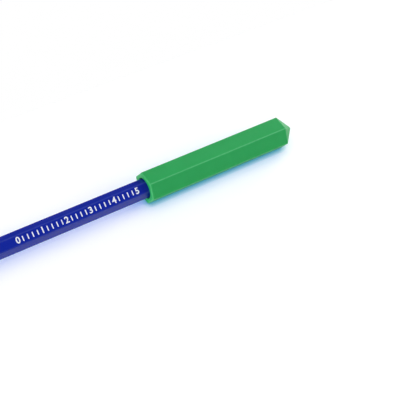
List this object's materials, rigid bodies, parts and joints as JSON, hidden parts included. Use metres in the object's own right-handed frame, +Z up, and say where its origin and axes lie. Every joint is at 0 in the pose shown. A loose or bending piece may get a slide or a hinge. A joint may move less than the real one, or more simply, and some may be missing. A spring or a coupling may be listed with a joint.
{
  "type": "chewable pencil topper",
  "caption": "Hexagonal chewable elastomer topper with a low pointed end, pushed over the eraser end of a sharpened wood-cased hexagonal pencil, from which it pulls off.",
  "frame": {"origin": "under the middle of the overall length, in the plane that the topper's lower flat rests on", "axes": "+X along the pencil from the lead's tip to the topper's point, +Z up from the topper's lower flat"},
  "size_m": [0.2152, 0.0132, 0.0116],
  "materials": {
    "topper_elastomer": "satin moulded elastomer",
    "pencil_lacquer": "gloss lacquer on cedar",
    "graphite": "matte graphite and clay",
    "ferrule_aluminium": "bright rolled and crimped",
    "eraser_rubber": "matte eraser rubber"
  },
  "bodies": {
    "pencil": {"slat_upper": "pencil_lacquer", "slat_lower": "pencil_lacquer", "lead": "graphite", "ferrule": "ferrule_aluminium", "eraser": "eraser_rubber"},
    "topper": {"topper": "topper_elastomer"}
  },
  "joints": [
    {"name": "topper_pull_off", "type": "slide", "parent": "pencil", "child": "topper", "axis": [1, 0, 0], "range_m": [0, 0.045]}
  ]
}
